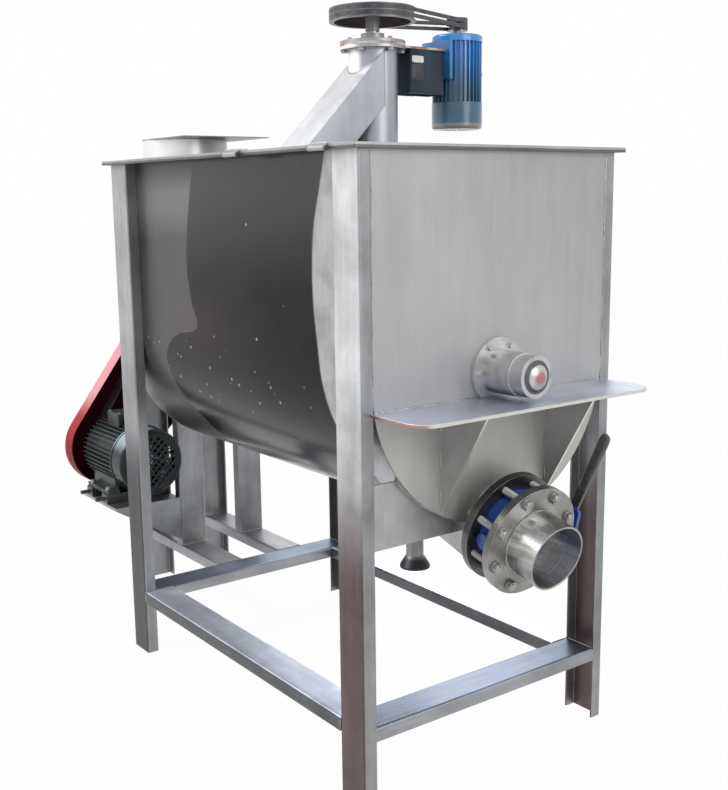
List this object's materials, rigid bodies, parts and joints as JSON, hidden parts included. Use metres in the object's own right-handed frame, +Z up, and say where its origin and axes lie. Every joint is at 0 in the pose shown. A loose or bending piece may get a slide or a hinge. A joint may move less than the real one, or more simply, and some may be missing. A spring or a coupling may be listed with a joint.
{
  "type": "ribbon blender",
  "caption": "Stainless U-trough ribbon blender on a channel frame, with belt-driven reducer, lifting screw and chute on the cover, and a tilted butterfly-valve outlet.",
  "frame": {"origin": "centre of the machine's outline box, on the floor", "axes": "+X along the shaft towards the outlet end, +Y to the lever side, +Z up"},
  "size_m": [2.1689, 0.899, 1.952],
  "materials": {
    "trough_steel": "polished",
    "frame_steel": "fine brushed",
    "cover_steel": "fine brushed",
    "pipe_steel": "turned and brushed",
    "bearing_steel": "bright turned",
    "stud_steel": "bright",
    "shaft_steel": "turned",
    "guard_red": "gloss",
    "motor_green": "satin",
    "cowl_teal": "gloss",
    "top_motor_blue": "gloss",
    "bracket_grey": "satin",
    "reducer_paint": "satin",
    "valve_blue": "satin",
    "lever_grey": "satin",
    "wheel_iron": "painted dark",
    "belt_rubber": "matte",
    "drain_black": "satin",
    "rail_dark": "satin"
  },
  "bodies": {
    "frame": {"trough_shell": "trough_steel", "end_plate_back": "trough_steel", "end_plate_front": "trough_steel", "outlet_sump": "trough_steel", "saddles": "trough_steel", "leg_back_left": "frame_steel", "leg_back_right": "frame_steel", "leg_front_left": "frame_steel", "leg_front_right": "frame_steel", "side_rails": "frame_steel", "cross_rails": "frame_steel", "drive_beams": "frame_steel", "near_posts": "frame_steel", "far_posts": "frame_steel", "drive_table": "frame_steel", "end_shelf": "frame_steel", "motor_shelf": "frame_steel", "rim_flange": "cover_steel", "cover_back": "cover_steel", "cover_front": "cover_steel", "feed_collar": "cover_steel", "chute": "cover_steel", "lift_tube": "cover_steel", "outlet_neck": "pipe_steel", "outlet_spigot": "pipe_steel", "front_bearing": "bearing_steel", "back_bearing": "bearing_steel", "flange_studs": "stud_steel", "belt_guard": "guard_red", "motor_body": "motor_green", "terminal_box": "motor_green", "fan_cowl": "cowl_teal", "top_motor_body": "top_motor_blue", "motor_bracket": "bracket_grey", "top_bearing": "bracket_grey", "reducer_case": "reducer_paint", "valve_body": "valve_blue", "drive_belts": "belt_rubber", "screw_belts": "belt_rubber", "drain_pipe": "drain_black", "slide_rails": "rail_dark"},
    "main_rotor": {"main_shaft": "shaft_steel", "outer_ribbons": "trough_steel", "inner_ribbons": "trough_steel", "chain_coupling": "shaft_steel", "output_shaft": "shaft_steel"},
    "input_rotor": {"input_shaft": "shaft_steel", "driven_wheel": "wheel_iron"},
    "drive_motor_rotor": {"motor_rotor": "shaft_steel", "motor_wheel": "wheel_iron"},
    "screw_rotor": {"lift_screw": "shaft_steel", "screw_wheel": "wheel_iron"},
    "top_rotor": {"top_motor_rotor": "shaft_steel", "small_wheel": "wheel_iron"},
    "valve_rotor": {"valve_disc": "shaft_steel", "valve_lever": "lever_grey"},
    "loose_sheet": {"feed_sheet": "cover_steel"},
    "back_clip": {"rim_clip_back": "cover_steel"},
    "front_clip": {"rim_clip_front": "cover_steel"}
  },
  "joints": [
    {"name": "main_spin", "type": "hinge", "parent": "frame", "child": "main_rotor", "pos_m": [0, 0, 1.036], "axis": [1, 0, 0], "continuous": true},
    {"name": "input_spin", "type": "hinge", "parent": "frame", "child": "input_rotor", "pos_m": [-0.9409, 0.2, 1.036], "axis": [1, 0, 0], "continuous": true},
    {"name": "drive_motor_spin", "type": "hinge", "parent": "frame", "child": "drive_motor_rotor", "pos_m": [-0.9409, -0.222, 0.55], "axis": [1, 0, 0], "continuous": true},
    {"name": "screw_spin", "type": "hinge", "parent": "frame", "child": "screw_rotor", "pos_m": [0.3591, 0, 1.9], "axis": [0, 0, 1], "continuous": true},
    {"name": "top_motor_spin", "type": "hinge", "parent": "frame", "child": "top_rotor", "pos_m": [0.3591, 0.3, 1.9], "axis": [0, 0, 1], "continuous": true},
    {"name": "valve_turn", "type": "hinge", "parent": "frame", "child": "valve_rotor", "pos_m": [0.93284, 0, 0.64212], "axis": [0, 1, 0], "range_deg": [0, 90]},
    {"name": "sheet_slide", "type": "slide", "parent": "frame", "child": "loose_sheet", "axis": [1, 0, 0], "range_m": [-0.1, 0]},
    {"name": "back_clip_turn", "type": "hinge", "parent": "frame", "child": "back_clip", "pos_m": [0.3511, -0.443, 1.568], "axis": [1, 0, 0], "range_deg": [0, 110]},
    {"name": "front_clip_turn", "type": "hinge", "parent": "frame", "child": "front_clip", "pos_m": [0.7361, -0.443, 1.568], "axis": [1, 0, 0], "range_deg": [0, 110]}
  ],
  "couplings": [
    {"joint": "input_spin", "follows": "main_spin", "ratio": 20},
    {"joint": "drive_motor_spin", "follows": "main_spin", "ratio": 46.471},
    {"joint": "top_motor_spin", "follows": "screw_spin", "ratio": 3.8667}
  ]
}
